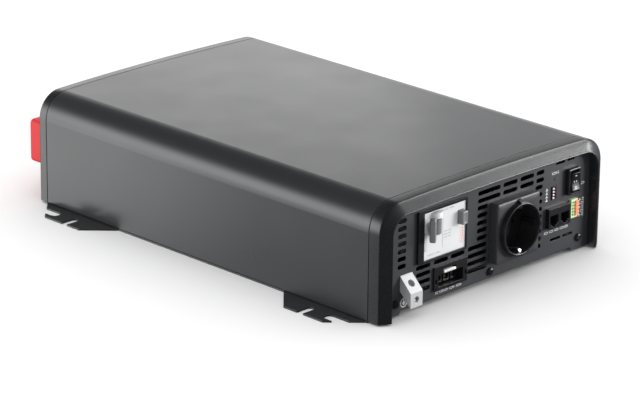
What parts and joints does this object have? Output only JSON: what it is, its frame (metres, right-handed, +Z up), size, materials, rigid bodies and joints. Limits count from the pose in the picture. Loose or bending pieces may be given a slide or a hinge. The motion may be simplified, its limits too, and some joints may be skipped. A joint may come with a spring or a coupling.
{
  "type": "power inverter",
  "caption": "Mobile power inverter: long crowned metal cover on slotted feet, hooded front panel with mains socket, breaker and controls, and rear battery terminals with fans.",
  "frame": {"origin": "middle of the bounding box in plan, at the underside of the base plate", "axes": "+Z up, front panel faces -Y, +X is on the right seen from the front"},
  "size_m": [0.2986, 0.426, 0.0953],
  "materials": {
    "powder_coat_steel": "fine satin powder coat",
    "bezel_plastic": "satin moulded",
    "panel_steel": "fine matt powder coat",
    "black_steel": "semi-matt black",
    "black_plastic": "satin black",
    "light_plastic": "satin off-white",
    "grey_plastic": "satin grey",
    "white_plastic": "white",
    "red_plastic": "bright red",
    "dip_red": "dark red",
    "green_plastic": "pale green",
    "orange_plastic": "orange",
    "led_lens": "diffused lens",
    "lug_aluminium": "satin bright",
    "plated_steel": "zinc plated",
    "spring_steel": "nickel plated",
    "brass_contact": "plated contact",
    "copper_bar": "bare copper",
    "black_screw": "blackened",
    "circuit_board": "green solder mask",
    "insulator": "fibre sheet",
    "heatsink_aluminium": "extruded",
    "ferrite": "ferrite and copper",
    "copper_winding": "enamelled winding",
    "capacitor_sleeve": "sleeved can",
    "fuse_plastic": "blade fuse"
  },
  "bodies": {
    "chassis": {"base_plate": "black_steel", "cover": "powder_coat_steel", "front_bezel": "bezel_plastic", "rear_bezel": "bezel_plastic", "front_panel": "panel_steel", "rear_panel": "black_steel", "socket_body": "black_plastic", "socket_contacts": "spring_steel", "breaker_frame": "black_plastic", "breaker_body": "light_plastic", "ac_outlet_housing": "black_plastic", "ac_outlet_contacts": "brass_contact", "earth_lug": "lug_aluminium", "power_rocker_bezel": "black_plastic", "dip_switch_body": "dip_red", "data_jack_block": "black_plastic", "data_jack_contacts": "brass_contact", "terminal_plug_header": "green_plastic", "status_led": "led_lens", "front_screws": "black_screw", "rear_screws": "black_screw", "fan_frame_left": "black_plastic", "fan_frame_right": "black_plastic", "fan_guards": "plated_steel", "dc_terminal_base": "black_plastic", "dc_studs": "brass_contact", "dc_nuts": "plated_steel", "dc_busbars": "copper_bar", "main_board": "circuit_board", "control_board": "circuit_board", "board_standoffs": "brass_contact", "insulation_sheet": "insulator", "heatsink_left": "heatsink_aluminium", "heatsink_right": "heatsink_aluminium", "power_transistors": "black_plastic", "transformer_1": "ferrite", "transformer_2": "ferrite", "output_choke": "copper_winding", "bus_capacitors": "capacitor_sleeve", "input_capacitors": "capacitor_sleeve", "output_relay": "black_plastic", "input_fuses": "fuse_plastic"},
    "breaker_lever": {"breaker_lever": "grey_plastic"},
    "breaker_test_button": {"breaker_test_button": "grey_plastic"},
    "ac_outlet_latch": {"ac_outlet_latch": "white_plastic"},
    "earth_lug_screw": {"earth_lug_screw": "plated_steel"},
    "power_rocker": {"power_rocker": "black_plastic"},
    "dip_lever_1": {"dip_lever_1": "white_plastic"},
    "dip_lever_2": {"dip_lever_2": "white_plastic"},
    "dip_lever_3": {"dip_lever_3": "white_plastic"},
    "dip_lever_4": {"dip_lever_4": "white_plastic"},
    "terminal_lever_1": {"terminal_lever_1": "orange_plastic"},
    "terminal_lever_2": {"terminal_lever_2": "orange_plastic"},
    "terminal_lever_3": {"terminal_lever_3": "orange_plastic"},
    "terminal_lever_4": {"terminal_lever_4": "orange_plastic"},
    "terminal_lever_5": {"terminal_lever_5": "orange_plastic"},
    "fan_rotor_left": {"fan_rotor_left": "black_plastic"},
    "fan_rotor_right": {"fan_rotor_right": "black_plastic"},
    "terminal_cover_positive": {"terminal_cover_positive": "red_plastic"},
    "terminal_cover_negative": {"terminal_cover_negative": "black_plastic"}
  },
  "joints": [
    {"name": "breaker_lever_swing", "type": "hinge", "parent": "chassis", "child": "breaker_lever", "pos_m": [-0.0628, -0.20035, 0.0637], "axis": [0, 0, 1], "range_deg": [0, 90]},
    {"name": "breaker_test_press", "type": "slide", "parent": "chassis", "child": "breaker_test_button", "axis": [0, 1, 0], "range_m": [0, 0.002], "stiffness_N_per_m": 400},
    {"name": "ac_latch_slide", "type": "slide", "parent": "chassis", "child": "ac_outlet_latch", "axis": [0, 0, 1], "range_m": [0, 0.001], "stiffness_N_per_m": 300},
    {"name": "earth_screw_back_out", "type": "slide", "parent": "chassis", "child": "earth_lug_screw", "axis": [0, -1, 0], "range_m": [0, 0.003]},
    {"name": "power_rocker_tilt", "type": "hinge", "parent": "chassis", "child": "power_rocker", "pos_m": [0.09475, -0.19735, 0.06155], "axis": [1, 0, 0], "range_deg": [-10, 10]},
    {"name": "dip_lever_1_slide", "type": "slide", "parent": "chassis", "child": "dip_lever_1", "axis": [1, 0, 0], "range_m": [0, 0.0021]},
    {"name": "dip_lever_2_slide", "type": "slide", "parent": "chassis", "child": "dip_lever_2", "axis": [1, 0, 0], "range_m": [0, 0.0021]},
    {"name": "dip_lever_3_slide", "type": "slide", "parent": "chassis", "child": "dip_lever_3", "axis": [1, 0, 0], "range_m": [0, 0.0021]},
    {"name": "dip_lever_4_slide", "type": "slide", "parent": "chassis", "child": "dip_lever_4", "axis": [1, 0, 0], "range_m": [0, 0.0021]},
    {"name": "terminal_lever_1_press", "type": "slide", "parent": "chassis", "child": "terminal_lever_1", "axis": [0, 1, 0], "range_m": [0, 0.0015], "stiffness_N_per_m": 400},
    {"name": "terminal_lever_2_press", "type": "slide", "parent": "chassis", "child": "terminal_lever_2", "axis": [0, 1, 0], "range_m": [0, 0.0015], "stiffness_N_per_m": 400},
    {"name": "terminal_lever_3_press", "type": "slide", "parent": "chassis", "child": "terminal_lever_3", "axis": [0, 1, 0], "range_m": [0, 0.0015], "stiffness_N_per_m": 400},
    {"name": "terminal_lever_4_press", "type": "slide", "parent": "chassis", "child": "terminal_lever_4", "axis": [0, 1, 0], "range_m": [0, 0.0015], "stiffness_N_per_m": 400},
    {"name": "terminal_lever_5_press", "type": "slide", "parent": "chassis", "child": "terminal_lever_5", "axis": [0, 1, 0], "range_m": [0, 0.0015], "stiffness_N_per_m": 400},
    {"name": "fan_left_spin", "type": "hinge", "parent": "chassis", "child": "fan_rotor_left", "pos_m": [0.008, 0.155, 0.044], "axis": [0, 1, 0], "continuous": true},
    {"name": "fan_right_spin", "type": "hinge", "parent": "chassis", "child": "fan_rotor_right", "pos_m": [0.076, 0.155, 0.044], "axis": [0, 1, 0], "continuous": true},
    {"name": "terminal_cover_positive_pull", "type": "slide", "parent": "chassis", "child": "terminal_cover_positive", "axis": [0, 1, 0], "range_m": [0, 0.045]},
    {"name": "terminal_cover_negative_pull", "type": "slide", "parent": "chassis", "child": "terminal_cover_negative", "axis": [0, 1, 0], "range_m": [0, 0.045]}
  ]
}
